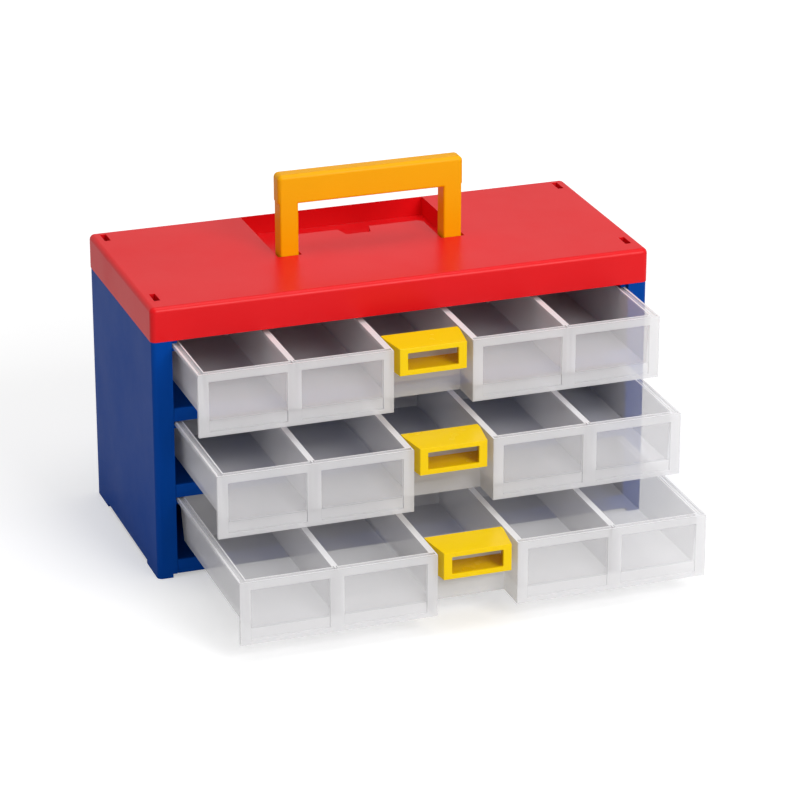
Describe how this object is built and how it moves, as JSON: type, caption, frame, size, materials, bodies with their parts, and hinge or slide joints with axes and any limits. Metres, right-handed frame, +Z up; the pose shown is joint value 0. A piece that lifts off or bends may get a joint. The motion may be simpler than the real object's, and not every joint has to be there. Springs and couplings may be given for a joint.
{
  "type": "art supply box",
  "caption": "Portable art supply box: a case with drawers on runners, each divided into bays with a hooked-on pull, under a lid with a handle that folds into a recess.",
  "frame": {"origin": "on the ground, in the middle of the box's outline as it stands with its drawers drawn out", "axes": "+X to the right along the lid's length, seen from the drawers' side; +Y to the back; +Z up"},
  "size_m": [0.399, 0.3386, 0.2846],
  "materials": {
    "lid_red": "satin",
    "case_blue": "satin",
    "handle_orange": "satin",
    "tray_frosted": "frosted",
    "pull_yellow": "clear"
  },
  "bodies": {
    "case": {"left_side_panel": "case_blue", "right_side_panel": "case_blue", "back_panel": "case_blue", "base_panel": "case_blue", "lower_shelf": "case_blue", "upper_shelf": "case_blue", "lid": "lid_red", "handle_pin_left": "lid_red", "handle_pin_right": "lid_red"},
    "handle": {"handle": "handle_orange"},
    "top_drawer": {"top_tray": "tray_frosted", "top_left_divider": "tray_frosted", "top_right_divider": "tray_frosted", "top_pull": "pull_yellow"},
    "middle_drawer": {"middle_tray": "tray_frosted", "middle_left_divider": "tray_frosted", "middle_right_divider": "tray_frosted", "middle_pull": "pull_yellow"},
    "bottom_drawer": {"bottom_tray": "tray_frosted", "bottom_left_divider": "tray_frosted", "bottom_right_divider": "tray_frosted", "bottom_pull": "pull_yellow"}
  },
  "joints": [
    {"name": "handle_fold", "type": "hinge", "parent": "case", "child": "handle", "pos_m": [0, 0.07525, 0.2121], "axis": [-1, 0, 0], "range_deg": [0, 90]},
    {"name": "top_drawer_slide", "type": "slide", "parent": "case", "child": "top_drawer", "axis": [0, -1, 0], "range_m": [-0.0637, 0.097]},
    {"name": "middle_drawer_slide", "type": "slide", "parent": "case", "child": "middle_drawer", "axis": [0, -1, 0], "range_m": [-0.1083, 0.0524]},
    {"name": "bottom_drawer_slide", "type": "slide", "parent": "case", "child": "bottom_drawer", "axis": [0, -1, 0], "range_m": [-0.1602, 0.0005]}
  ]
}
